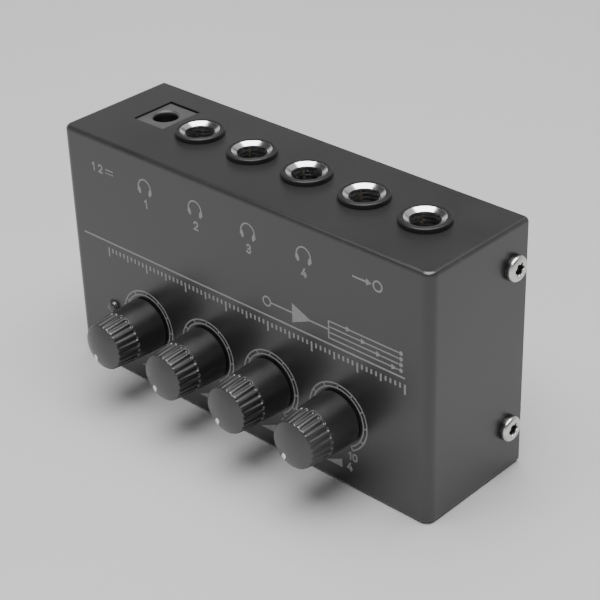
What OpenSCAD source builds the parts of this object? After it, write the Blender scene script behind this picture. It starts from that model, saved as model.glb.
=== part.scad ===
// Compact four-channel headphone amplifier.
// Origin: centre of the face it stands on. +X along the knob panel,
// +Y from the knob panel to the back cover, +Z up to the jack panel.

/* [Housing] */
// Width of the housing along the knob panel
body_w = 104; // [104:1:110]
// Depth of the housing, knob panel to back cover
body_d = 30; // [30:1:34]
// Height of the housing, standing face to jack panel
body_h = 58; // [58:1:62]
// Thickness of the folded sheet metal
sheet_t = 1.2; // [1:0.1:1.4]
// Outer radius of the upright folds
bend_r = 2.2; // [2.1:0.1:2.6]
// Outer radius of the edges round the jack panel and the standing face
edge_r = 1; // [0.8:0.1:1]

/* [Jack panel] */
// Position of the first headphone jack along the panel
jack_x0 = -25; // [-25.2:0.1:-24.8]
// Distance between neighbouring jacks
jack_pitch = 15.64; // [15.6:0.02:15.7]
// Bore for a 6.35 mm plug
jack_bore = 6.44; // [6.4:0.02:6.5]
// Outer diameter of the round nuts
nut_d = 10.9; // [10.4:0.1:11.4]
// Height of the nuts above the panel
nut_h = 1.1; // [1:0.1:1.5]
// Diameter of the dished mouth of each plated sleeve
bush_mouth_d = 8.6; // [8:0.02:8.64]
// Position of the power inlet along the panel
dc_x = -37.6; // [-37.8:0.1:-37.4]

/* [Knob panel] */
// Distance between neighbouring knobs
knob_pitch = 18.9; // [18.5:0.1:19.2]
// Sideways offset of the knob row
knob_off = -0.1; // [-0.2:0.1:0.2]
// Height of the knob row above the standing face
knob_z = 16.4; // [16:0.1:17]
// Gap between the knob skirt and the panel
knob_gap = 0.5; // [0.4:0.1:0.8]
// Diameter of the knob at its foot
knob_foot_d = 12.3; // [12:0.1:12.6]
// Diameter where the smooth skirt meets the grip
knob_mid_d = 11.7; // [11.6:0.1:11.9]
// Diameter at the top of the grip
knob_top_d = 10.7; // [10.4:0.1:11]
// Number of flutes around the grip
flute_count = 24; // [18:1:24]
// Radius of each flute
flute_r = 0.55; // [0.45:0.01:0.6]
// Shaft diameter
shaft_d = 6; // [5.9:0.1:6]
// Position of the power lamp along the panel
lamp_x = -39.8; // [-40:0.1:-39.6]

/* [Fasteners] */
// Height of the lower pair of side screws
screw_z_low = 11.1; // [10:0.1:13]
// Height of the upper pair of side screws
screw_z_high = 48.9; // [47:0.1:50]
// Head diameter of the side screws
screw_head_d = 5.6; // [5.2:0.1:6]
// Head height of the side screws
screw_head_h = 1.9; // [1.7:0.1:2.2]

/* [Hidden] */
$fn = 64;
hw = body_w / 2;
hd = body_d / 2;
in_x = hw - sheet_t;
in_y = hd - sheet_t;
in_top = body_h - sheet_t;
knob_xs = [for (i = [0:3]) knob_off + (i - 1.5) * knob_pitch];
jack_xs = [for (i = [0:4]) jack_x0 + i * jack_pitch];
jack_y = hd - 14;
board_y = hd - 6.6;
board_t = 1.6;
pin_end = board_y + board_t + 1.1;
jack_low = body_h - 31.4;
bore_low = body_h - 29.9;
bore_r = jack_bore / 2;
bush_r = 4.4;
tube_low = in_top - 4.8;
dc_w = 8.6;
dc_top = body_h - 0.3;
dc_low = dc_top - 14;
dc_front = board_y - 10.7;
dc_hole = [dc_x - 0.3, jack_y + 1.9];
case_front = board_y - 11.4;
rest_a = -122;

// ---- helpers -------------------------------------------------------------
// cylinder along +Y from y0 to y1
module ycyl(x, z, y0, y1, r, rt = -1) {
  translate([x, y0, z]) rotate([-90, 0, 0]) cylinder(r1 = r, r2 = rt < 0 ? r : rt, h = y1 - y0);
}
module blk(x0, x1, y0, y1, z0, z1) { translate([x0, y0, z0]) cube([x1 - x0, y1 - y0, z1 - z0]); }
// upright block with its two front uprights rounded
module fold_block(w, y0, y1, z0, z1, r) {
  blk(-w + r, w - r, y0, y1, z0, z1);
  blk(-w, w, y0 + r, y1, z0, z1);
  for (s = [-1, 1]) translate([s * (w - r), y0 + r, z0]) cylinder(r = r, h = z1 - z0);
}
// the same with a smaller rounding e all round its top and bottom, square at its open back
module folded_block(w, y0, y1, z0, z1, r, e) {
  fold_block(w, y0, y1, z0 + e, z1 - e, r);
  fold_block(w - e, y0 + e, y1, z0, z1, r - e);
  for (s = [-1, 1], z = [z0 + e, z1 - e]) ycyl(s * (w - e), z, y0 + r, y1, e);
  for (z = [z0 + e, z1 - e]) translate([-w + r, y0 + e, z]) rotate([0, 90, 0]) cylinder(r = e, h = 2 * (w - r));
  for (s = [-1, 1], z = [z0 + e, z1 - e]) translate([s * (w - r), y0 + r, z]) rotate_extrude() translate([r - e, 0]) circle(r = e);
}
// puts local +Z along -Y, out of the knob panel, with its origin on the panel
module on_panel(x, z) { translate([x, -hd, z]) rotate([90, 0, 0]) children(); }
// square pin along +Y
module pin(x, z, y0, w = 0.7, t = 0.4) { blk(x - w / 2, x + w / 2, y0, pin_end, z - t / 2, z + t / 2); }
module pin_hole(x, z) { translate([x, board_y - 1, z]) rotate([-90, 0, 0]) cylinder(r = 0.62, h = board_t + 2, $fn = 8); }

// positions of every lead that goes through the board, [x, z]
function pot_pins(x) = [for (dx = [-2.5, 0, 2.5], dz = [-3.9, 3.9]) [x + dx, knob_z + dz]];
function jack_pins(x) = [[x - 5.8, tip_z + 13], [x + 5.8, ring_z + 11], [x - 5.8, sleeve_z + 2.6]];
tip_z = body_h - 27;
ring_z = body_h - 22.5;
sleeve_z = body_h - 10;
lamp_pins = [[lamp_x - 1.27, knob_z], [lamp_x + 1.27, knob_z]];
dc_pins = [[dc_x, dc_low + 0.6], [dc_x, dc_low + 6.6], [dc_x + 3.6, dc_low + 3.6]];
coupling_at = [for (x = knob_xs) [x + knob_pitch / 2, knob_z]];
reservoir_at = [[-42.6, 34.5], [-42.6, 25]];
diode_at = [-40.5, 7];
function cap_pins(p, d) = [[p[0] - d, p[1]], [p[0] + d, p[1]]];

// ---- enclosure -----------------------------------------------------------
module housing_shell() {
  color([0.20, 0.20, 0.21]) difference() {
    folded_block(hw, -hd, hd, 0, body_h, bend_r, edge_r);
    fold_block(in_x, -in_y, hd + 1, sheet_t, in_top, bend_r - sheet_t);
    for (x = jack_xs) translate([x, jack_y, in_top - 2]) cylinder(r = bush_r + 0.1, h = sheet_t + 4);
    blk(dc_x - dc_w / 2 - 0.3, dc_x + dc_w / 2 + 0.3, dc_front - 0.3, board_y + 0.35, in_top - 2, body_h + 1);
    for (x = knob_xs) ycyl(x, knob_z, -hd - 1, -in_y + 1, shaft_d / 2 + 0.6);
    ycyl(lamp_x, knob_z, -hd - 1, -in_y + 1, 1.62);
    for (s = [-1, 1], z = [screw_z_low, screw_z_high])
      translate([s * (hw - 3), hd - 4.6, z]) rotate([0, s * 90, 0]) cylinder(r = 1.65, h = 5);
  }
}
module back_cover() {
  cw = in_x - 0.2;
  r = 1.6;
  color([0.16, 0.16, 0.17]) difference() {
    union() {
      difference() {
        union() {
          blk(-cw, cw, hd - 9.6, hd - r, 3.2, body_h - 3.2);
          blk(-cw + r, cw - r, hd - 9.6, hd, 3.2, body_h - 3.2);
          for (s = [-1, 1]) translate([s * (cw - r), hd - r, 3.2]) cylinder(r = r, h = body_h - 6.4);
          for (s = [-1, 1], z = [3.2, body_h - 3.2]) translate([s * (cw - r), hd - r, z]) sphere(r = r);
        }
        blk(-cw + sheet_t, cw - sheet_t, hd - 12, hd - sheet_t, 3, body_h - 3);
      }
      blk(-cw + r, cw - r, hd - sheet_t, hd, sheet_t + 0.25, body_h - sheet_t - 0.25);
    }
    for (s = [-1, 1], z = [screw_z_low, screw_z_high])
      translate([s * (cw - 3), hd - 4.6, z]) rotate([0, s * 90, 0]) cylinder(r = 1.45, h = 5);
  }
}
module case_screw() {
  r = screw_head_d / 2;
  difference() {
    union() {
      cylinder(r = r, h = screw_head_h - 0.9);
      cylinder(r = r - 0.9, h = screw_head_h);
      translate([0, 0, screw_head_h - 0.9]) rotate_extrude() translate([r - 0.9, 0]) circle(r = 0.9);
      translate([0, 0, -4]) cylinder(r = 1.45, h = 4.2);
    }
    translate([0, 0, screw_head_h - 1.2]) {
      cylinder(r = 1.02, h = 2);
      for (a = [0:60:300]) rotate(a) translate([1.04, 0, 0]) cylinder(r = 0.36, h = 2, $fn = 24);
    }
  }
}
module case_screws() {
  color([0.78, 0.78, 0.78])
  for (s = [-1, 1], z = [screw_z_low, screw_z_high])
    translate([s * hw, hd - 4.6, z]) rotate([0, s * 90, 0]) rotate(12) case_screw();
}
module rubber_feet() {
  color([0.07, 0.07, 0.07])
  for (x = [-43, 43], z = [9, body_h - 9]) translate([x, hd, z]) rotate([-90, 0, 0]) {
    cylinder(r = 4, h = 0.9);
    translate([0, 0, 0.9]) cylinder(r1 = 4, r2 = 3.5, h = 0.6);
  }
}

// ---- board ---------------------------------------------------------------
module main_board() {
  color([0.10, 0.32, 0.18]) difference() {
    blk(-47, 47, board_y, board_y + board_t, 2.6, body_h - 2);
    for (x = knob_xs, p = pot_pins(x)) pin_hole(p[0], p[1]);
    for (x = jack_xs, p = jack_pins(x)) pin_hole(p[0], p[1]);
    for (p = lamp_pins) pin_hole(p[0], p[1]);
    for (p = dc_pins) pin_hole(p[0], p[1]);
    for (c = coupling_at, p = cap_pins(c, 1.25)) pin_hole(p[0], p[1]);
    for (c = reservoir_at, p = cap_pins(c, 1.75)) pin_hole(p[0], p[1]);
    for (p = cap_pins(diode_at, 4)) pin_hole(p[0], p[1]);
  }
}

// ---- jacks ---------------------------------------------------------------
// pocket beside the bore for one contact spring; s picks the side
module spring_pocket(x, s, z0, z1, tail_z) {
  xa = s > 0 ? x + 2 : x - 6.4;
  xb = s > 0 ? x + 6.4 : x - 2;
  blk(xa, xb, jack_y - 1, jack_y + 1, z0, z1);
  blk(x + s * 5.8 - 0.6, x + s * 5.8 + 0.6, jack_y - 1, board_y + 1, tail_z - 1.1, tail_z + 1.1);
}
module jack_housing(x) {
  difference() {
    union() {
      blk(x - 7.6, x + 7.6, board_y - 14.6, board_y - 0.1, jack_low, in_top - 1.4);
      blk(x - 6.9, x + 6.9, board_y - 14.0, board_y - 0.6, in_top - 1.5, in_top);
      for (s = [-1, 1]) blk(x + s * 7.1 - 0.6, x + s * 7.1 + 0.6, board_y - 0.2, board_y, jack_low + 2, in_top - 4);
    }
    translate([x, jack_y, bore_low]) cylinder(r = bore_r, h = 40);
    translate([x, jack_y, tube_low]) cylinder(r = bush_r, h = 10);
    spring_pocket(x, -1, tip_z - 1.8, tip_z + 14.2, tip_z + 13);
    spring_pocket(x, 1, ring_z - 1.8, ring_z + 12.2, ring_z + 11);
    spring_pocket(x, -1, sleeve_z - 1.6, sleeve_z + 3.9, sleeve_z + 2.6);
    blk(x - 8, x - 6.9, board_y - 16, board_y - 9, jack_low - 1, jack_low + 9);
    blk(x + 6.9, x + 8, board_y - 16, board_y - 9, jack_low - 1, jack_low + 9);
  }
}
module phones_jack_n(i) { color([0.09, 0.09, 0.10]) jack_housing(jack_xs[i - 1]); }
module input_jack() { color([0.09, 0.09, 0.10]) jack_housing(jack_xs[4]); }
// plated sleeve with a dished mouth, threaded outside and held in the jack
module jack_bush(x) {
  rm = bush_mouth_d / 2;
  top = body_h + nut_h - 0.05;
  n = 8;
  translate([x, jack_y, 0]) difference() {
    translate([0, 0, tube_low + 0.4]) cylinder(r = bush_r, h = top - tube_low - 0.4);
    translate([0, 0, tube_low - 1]) cylinder(r = bore_r, h = 12);
    translate([0, 0, top]) rotate_extrude()
      polygon(concat([for (k = [0:n]) let (t = k / n) [bore_r + (rm - bore_r) * t, -0.62 * (1 - pow(t, 1.7))]],
        [[rm, 1], [0, 1], [0, -0.62]]));
  }
}
module jack_bushes() { color([0.80, 0.80, 0.80]) for (x = jack_xs) jack_bush(x); }
// round nut that clamps the jack panel
module jack_nut(x) {
  rf = nut_d / 2;
  translate([x, jack_y, body_h]) difference() {
    union() {
      cylinder(r = rf, h = nut_h - 0.3);
      cylinder(r = rf - 0.3, h = nut_h);
      translate([0, 0, nut_h - 0.3]) rotate_extrude() translate([rf - 0.3, 0]) circle(r = 0.3, $fn = 32);
    }
    translate([0, 0, -1]) cylinder(r = bush_r + 0.05, h = 4);
  }
}
module jack_nuts() { color([0.07, 0.07, 0.07]) for (x = jack_xs) jack_nut(x); }
// bent strip with its crown beside the bore and a tail through the board
module contact_spring(x, s, zc, len, tail_z) {
  r0 = bore_r + 0.12;
  t = 0.35;
  translate([x, 0, 0]) mirror([s < 0 ? 1 : 0, 0, 0]) {
    translate([0, jack_y + 0.85, 0]) rotate([90, 0, 0]) linear_extrude(height = 1.7)
      polygon([[5.3, zc - 1.4], [r0 + 0.3, zc - 0.3], [r0, zc], [r0 + 0.3, zc + 0.3], [5.62, zc + 1.6], [5.62, zc + len],
        [5.62 + t, zc + len], [5.62 + t, zc + 1.5], [r0 + 0.3 + t, zc + 0.2], [r0 + t, zc], [r0 + 0.3 + t, zc - 0.2], [5.3 + t, zc - 1.3]]);
    blk(5.62, 5.62 + t, jack_y, board_y - 0.1, tail_z - 0.9, tail_z + 0.9);
    blk(5.62, 5.62 + t, board_y - 0.2, pin_end, tail_z - 0.35, tail_z + 0.35);
  }
}
module tip_springs() { color([0.75, 0.68, 0.45]) for (x = jack_xs) contact_spring(x, -1, tip_z, 14, tip_z + 13); }
module ring_springs() { color([0.75, 0.68, 0.45]) for (x = jack_xs) contact_spring(x, 1, ring_z, 12, ring_z + 11); }
module sleeve_springs() { color([0.75, 0.68, 0.45]) for (x = jack_xs) contact_spring(x, -1, sleeve_z, 3.6, sleeve_z + 2.6); }

// ---- power inlet ---------------------------------------------------------
module dc_socket() {
  x = dc_hole[0];
  y = dc_hole[1];
  color([0.34, 0.34, 0.35]) difference() {
    union() {
      blk(dc_x - dc_w / 2, dc_x + dc_w / 2, dc_front, board_y - 0.1, dc_top - 3.2, dc_top);
      blk(dc_x - dc_w / 2 + 0.3, dc_x + dc_w / 2 - 0.3, dc_front + 1.6, board_y - 0.1, dc_low, dc_top - 3);
    }
    translate([x, y, dc_low + 3]) cylinder(r = 2.85, h = 20);
    translate([x, y, dc_top - 0.35]) cylinder(r1 = 2.85, r2 = 3.2, h = 0.351);
    translate([x, y, dc_low - 1]) cylinder(r = 1.05, h = 6);
    // pocket for the side spring
    blk(x + 1.6, x + 3.55, y - 1, y + 1, dc_low + 1.6, dc_top - 0.5);
    blk(dc_pins[2][0] - 0.55, dc_pins[2][0] + 0.55, y - 1, board_y + 1, dc_low + 2.6, dc_low + 4.6);
    // slot for the blade of the pin
    blk(dc_x - 0.9, dc_x + 0.9, y - 0.4, board_y + 1, dc_low - 1, dc_low + 1.25);
  }
}
module dc_pin() {
  x = dc_hole[0];
  y = dc_hole[1];
  color([0.80, 0.78, 0.70]) {
    translate([x, y, dc_low + 0.3]) cylinder(r = 1.05, h = dc_top - dc_low - 3.1);
    translate([x, y, dc_top - 2.8]) cylinder(r1 = 1.05, r2 = 0.7, h = 0.5);
    blk(dc_x - 0.5, dc_x + 0.5, y, pin_end, dc_low + 0.35, dc_low + 0.85);
  }
}
module dc_spring() {
  x = dc_hole[0];
  y = dc_hole[1];
  px = dc_pins[2][0];
  color([0.80, 0.78, 0.70]) {
    translate([0, y + 0.8, 0]) rotate([90, 0, 0]) linear_extrude(height = 1.6)
      polygon([[x + 3.1, dc_low + 2.8], [x + 3.1, dc_top - 6.5], [x + 1.75, dc_top - 2.2], [x + 1.75, dc_top - 1.4], [x + 2.5, dc_top - 0.6],
        [x + 2.8, dc_top - 0.6], [x + 2.05, dc_top - 1.5], [x + 2.05, dc_top - 2.1], [x + 3.4, dc_top - 6.4], [x + 3.4, dc_low + 2.8]]);
    blk(x + 3.1, px + 0.15, y - 0.2, y + 0.8, dc_low + 2.8, dc_low + 4.4);
    blk(px - 0.15, px + 0.15, y - 0.2, board_y - 0.1, dc_low + 2.8, dc_low + 4.4);
    blk(px - 0.15, px + 0.15, board_y - 0.2, pin_end, dc_low + 3.3, dc_low + 3.9);
  }
}

// ---- power lamp ----------------------------------------------------------
module lamp_lens() {
  color([0.75, 0.78, 0.80]) {
    ycyl(lamp_x, knob_z, -hd + 0.1, -hd + 4.6, 1.5);
    ycyl(lamp_x, knob_z, -hd + 4.5, -hd + 5.5, 1.9);
    translate([lamp_x, -hd + 0.1, knob_z]) sphere(r = 1.5);
  }
}
module lamp_leads() {
  color([0.75, 0.75, 0.75]) for (p = lamp_pins) blk(p[0] - 0.25, p[0] + 0.25, -hd + 5.5, pin_end, p[1] - 0.25, p[1] + 0.25);
}
module lamp_spacer() {
  color([0.08, 0.08, 0.08]) difference() {
    ycyl(lamp_x, knob_z, -hd + 5.6, board_y - 0.1, 2.4);
    for (p = lamp_pins) blk(p[0] - 0.4, p[0] + 0.4, -hd, board_y + 1, p[1] - 0.4, p[1] + 0.4);
  }
}

// ---- level controls ------------------------------------------------------
module pot_case(x) {
  difference() {
    union() {
      blk(x - 4.9, x + 4.9, case_front, case_front + 5.2, knob_z - 5.8, knob_z + 5.8);
      blk(x - 4.5, x + 4.5, case_front + 5, case_front + 5.9, knob_z - 5.4, knob_z + 5.4);
      blk(x - 4.9, x + 4.9, case_front + 5.8, board_y - 0.2, knob_z - 5.8, knob_z + 5.8);
      ycyl(x, knob_z, case_front - 5.5, case_front + 0.1, 3.5);
      for (p = pot_pins(x)) pin(p[0], p[1], board_y - 0.4);
    }
    ycyl(x, knob_z, case_front - 6, case_front + 2, shaft_d / 2 + 0.05);
    ycyl(x, knob_z, case_front + 1.5, case_front + 4.5, 4);
  }
}
module pot_case_n(i) { color([0.13, 0.22, 0.16]) pot_case(knob_xs[i - 1]); }
shaft_l = 12.5;
flat_x = 1.5;
module d_shape(r, z0, z1) {
  difference() {
    translate([0, 0, z0]) cylinder(r = r, h = z1 - z0);
    rotate(rest_a) translate([-r - 1 - flat_x, -r - 1, z0 - 1]) cube([r + 1, 2 * r + 2, z1 - z0 + 2]);
  }
}
module pot_shaft_n(i) {
  rotor = -hd - case_front - 4.4;
  color([0.72, 0.72, 0.72]) on_panel(knob_xs[i - 1], knob_z) {
    translate([0, 0, rotor]) cylinder(r = 3.9, h = 2.8);
    translate([0, 0, rotor + 2.7]) cylinder(r = shaft_d / 2, h = 2.9 - rotor - 2.7);
    d_shape(shaft_d / 2, 2.8, shaft_l);
  }
}
// outside of the knob as one turned form
knob_mid_l = 8;
knob_rim_l = 13.2;
rim_r = 0.5;
dome_r = 11;
rim_c = knob_top_d / 2 - rim_r;
dome_c = knob_rim_l - sqrt(pow(dome_r - rim_r, 2) - rim_c * rim_c);
dome_edge = rim_c * dome_r / (dome_r - rim_r);
module knob_form() {
  translate([0, 0, knob_gap]) cylinder(r1 = knob_foot_d / 2, r2 = knob_mid_d / 2, h = knob_mid_l - knob_gap);
  translate([0, 0, knob_mid_l]) cylinder(r1 = knob_mid_d / 2, r2 = knob_top_d / 2, h = knob_rim_l - knob_mid_l);
  translate([0, 0, knob_rim_l]) rotate_extrude() translate([rim_c, 0]) circle(r = rim_r, $fn = 32);
  intersection() {
    translate([0, 0, dome_c]) sphere(r = dome_r, $fn = 96);
    translate([0, 0, knob_rim_l - 1]) cylinder(r = dome_edge, h = 5);
  }
}
module pointer_slot() {
  rotate(rest_a) {
    translate([2.95, -0.55, knob_rim_l - 0.3]) cube([4, 1.1, 4]);
    translate([2.95, 0, knob_rim_l - 0.3]) cylinder(r = 0.55, h = 4, $fn = 32);
  }
}
module knob_n(i) {
  lean = atan((knob_mid_d - knob_top_d) / 2 / (knob_rim_l - knob_mid_l));
  fr = knob_mid_d / 2 + 0.13;
  color([0.06, 0.06, 0.06]) on_panel(knob_xs[i - 1], knob_z) difference() {
    knob_form();
    difference() {
      translate([0, 0, -1]) cylinder(r = 4.9, h = 8.4);
      translate([0, 0, -2]) cylinder(r = 3.9, h = 10);
    }
    translate([0, 0, -1]) cylinder(r = shaft_d / 2 + 0.05, h = 3.9);
    d_shape(shaft_d / 2, 2.8, shaft_l + 0.1);
    for (k = [0:flute_count - 1]) rotate(k * 360 / flute_count + rest_a + 180 / flute_count)
      translate([fr, 0, knob_mid_l + 0.5]) {
        sphere(r = flute_r, $fn = 24);
        rotate([0, -lean / 2, 0]) cylinder(r = flute_r, h = 8, $fn = 24);
      }
    pointer_slot();
  }
}
module knob_pointer_n(i) {
  color([0.95, 0.95, 0.95]) on_panel(knob_xs[i - 1], knob_z) intersection() {
    knob_form();
    pointer_slot();
  }
}

// ---- small parts on the board --------------------------------------------
// eight-lead chip on the board face at y, s = -1 on the knob side, +1 behind
module chip8(x, z, y, s) {
  y0 = s < 0 ? y - 1.65 : y + 0.15;
  union() {
    blk(x - 2.45, x + 2.45, y0, y0 + 1.5, z - 1.95, z + 1.95);
    for (k = [-1.5:1:1.5], t = [-1, 1]) {
      blk(x + k * 1.27 - 0.2, x + k * 1.27 + 0.2, y0 + 0.65, y0 + 0.85, z + t * 2.25 - 0.4, z + t * 2.25 + 0.4);
      blk(x + k * 1.27 - 0.2, x + k * 1.27 + 0.2, s < 0 ? y0 + 0.65 : y, s < 0 ? y : y0 + 0.85, z + t * 2.65 - 0.1, z + t * 2.65 + 0.1);
      blk(x + k * 1.27 - 0.2, x + k * 1.27 + 0.2, s < 0 ? y - 0.2 : y, s < 0 ? y : y + 0.2, z + t * 2.85 - 0.3, z + t * 2.85 + 0.3);
    }
  }
}
module driver_ic_n(i) { color([0.08, 0.08, 0.08]) chip8(knob_xs[i - 1], 6.6, board_y, -1); }
module input_ic() { color([0.08, 0.08, 0.08]) chip8(28, 24.5, board_y + board_t, 1); }
module regulator() {
  y = board_y + board_t;
  color([0.08, 0.08, 0.08]) union() {
    blk(-26.25, -19.75, y + 0.1, y + 1.7, 22.5, 26);
    blk(-24.5, -21.5, y, y + 0.3, 25.9, 27.7);
    for (k = [-1, 0, 1]) blk(-23.35 + k * 2.3, -22.65 + k * 2.3, y, y + 0.3, 20.8, 22.6);
  }
}
module can(p, r, h, d) {
  union() {
    ycyl(p[0], p[1], board_y - h + 0.4, board_y - 1.6, r);
    ycyl(p[0], p[1], board_y - h, board_y - h + 0.4, r - 0.4, r);
    ycyl(p[0], p[1], board_y - 1.7, board_y - 1.1, r - 0.3);
    ycyl(p[0], p[1], board_y - 1.2, board_y - 0.1, r);
    for (q = cap_pins(p, d)) blk(q[0] - 0.3, q[0] + 0.3, board_y - 0.3, pin_end, q[1] - 0.3, q[1] + 0.3);
  }
}
module coupling_cap_n(i) { color([0.16, 0.18, 0.30]) can(coupling_at[i - 1], 3.15, 11, 1.25); }
module reservoir_cap_n(i) { color([0.12, 0.12, 0.14]) can(reservoir_at[i - 1], 4, 11.5, 1.75); }
module power_diode() {
  color([0.10, 0.10, 0.10]) {
    translate([diode_at[0] - 2.6, board_y - 1.7, diode_at[1]]) rotate([0, 90, 0]) cylinder(r = 1.35, h = 5.2);
    for (s = [-1, 1]) {
      blk(diode_at[0] + (s > 0 ? 2.5 : -4.3), diode_at[0] + (s > 0 ? 4.3 : -2.5), board_y - 2, board_y - 1.4, diode_at[1] - 0.3, diode_at[1] + 0.3);
      blk(diode_at[0] + s * 4 - 0.3, diode_at[0] + s * 4 + 0.3, board_y - 2, pin_end, diode_at[1] - 0.3, diode_at[1] + 0.3);
    }
  }
}
module chip_resistors() {
  color([0.15, 0.15, 0.15]) for (k = [0:11]) blk(-30 + k * 6, -28 + k * 6, board_y - 0.55, board_y, 23.6, 24.85);
}

housing_shell();
back_cover();
case_screws();
rubber_feet();
main_board();
phones_jack_n(1);  // phones_jack_1
phones_jack_n(2);  // phones_jack_2
phones_jack_n(3);  // phones_jack_3
phones_jack_n(4);  // phones_jack_4
input_jack();
jack_bushes();
jack_nuts();
tip_springs();
ring_springs();
sleeve_springs();
dc_socket();
dc_pin();
dc_spring();
lamp_lens();
lamp_leads();
lamp_spacer();
pot_case_n(1);  // pot_case_1
pot_case_n(2);  // pot_case_2
pot_case_n(3);  // pot_case_3
pot_case_n(4);  // pot_case_4
pot_shaft_n(1);  // pot_shaft_1
pot_shaft_n(2);  // pot_shaft_2
pot_shaft_n(3);  // pot_shaft_3
pot_shaft_n(4);  // pot_shaft_4
knob_n(1);  // knob_1
knob_n(2);  // knob_2
knob_n(3);  // knob_3
knob_n(4);  // knob_4
knob_pointer_n(1);  // knob_pointer_1
knob_pointer_n(2);  // knob_pointer_2
knob_pointer_n(3);  // knob_pointer_3
knob_pointer_n(4);  // knob_pointer_4
driver_ic_n(1);  // driver_ic_1
driver_ic_n(2);  // driver_ic_2
driver_ic_n(3);  // driver_ic_3
driver_ic_n(4);  // driver_ic_4
input_ic();
regulator();
coupling_cap_n(1);  // coupling_cap_1
coupling_cap_n(2);  // coupling_cap_2
coupling_cap_n(3);  // coupling_cap_3
coupling_cap_n(4);  // coupling_cap_4
reservoir_cap_n(1);  // reservoir_cap_1
reservoir_cap_n(2);  // reservoir_cap_2
power_diode();
chip_resistors();
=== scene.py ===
import math

import bpy
import bmesh
import numpy as np
from mathutils import Matrix, Vector


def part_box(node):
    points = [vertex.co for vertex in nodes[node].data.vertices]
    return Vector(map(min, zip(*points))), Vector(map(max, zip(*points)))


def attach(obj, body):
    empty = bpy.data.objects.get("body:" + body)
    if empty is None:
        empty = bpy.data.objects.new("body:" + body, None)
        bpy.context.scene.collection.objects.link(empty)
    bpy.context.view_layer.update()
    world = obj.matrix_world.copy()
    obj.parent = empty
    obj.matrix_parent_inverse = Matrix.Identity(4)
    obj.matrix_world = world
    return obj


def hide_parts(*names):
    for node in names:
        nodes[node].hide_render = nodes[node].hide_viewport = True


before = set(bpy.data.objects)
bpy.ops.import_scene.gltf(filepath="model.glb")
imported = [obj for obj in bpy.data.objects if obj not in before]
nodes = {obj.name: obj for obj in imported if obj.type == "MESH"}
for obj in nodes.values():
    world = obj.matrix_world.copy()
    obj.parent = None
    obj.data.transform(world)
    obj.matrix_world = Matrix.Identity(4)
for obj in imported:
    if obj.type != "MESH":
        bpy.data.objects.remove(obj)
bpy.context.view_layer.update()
MM = 0.001


def mm(v):
    return [c / MM for c in v]


# ---- places, from the frame ------------------------------------------------
shell_lo, shell_hi = [mm(c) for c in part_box("housing_shell")]
HW = shell_hi[0]
FRONT = shell_lo[1]
BACK = shell_hi[1]
TOP = shell_hi[2]
knob_at, jack_at = [], []
for i in range(1, 5):
    lo, hi = [mm(c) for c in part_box("knob_%d" % i)]
    knob_at.append(((lo[0] + hi[0]) / 2, (lo[2] + hi[2]) / 2))
for n in ["phones_jack_1", "phones_jack_2", "phones_jack_3", "phones_jack_4", "input_jack"]:
    lo, hi = [mm(c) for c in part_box(n)]
    jack_at.append((lo[0] + hi[0]) / 2)
bush_lo, bush_hi = [mm(c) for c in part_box("jack_bushes")]
JACK_Y = (bush_lo[1] + bush_hi[1]) / 2
screw_lo, screw_hi = [mm(c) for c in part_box("case_screws")]
SCREW_Y = (screw_lo[1] + screw_hi[1]) / 2
lamp_lo, lamp_hi = [mm(c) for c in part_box("lamp_lens")]
LAMP = ((lamp_lo[0] + lamp_hi[0]) / 2, (lamp_lo[2] + lamp_hi[2]) / 2)
foot_lo, foot_hi = [mm(c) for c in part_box("rubber_feet")]


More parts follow.
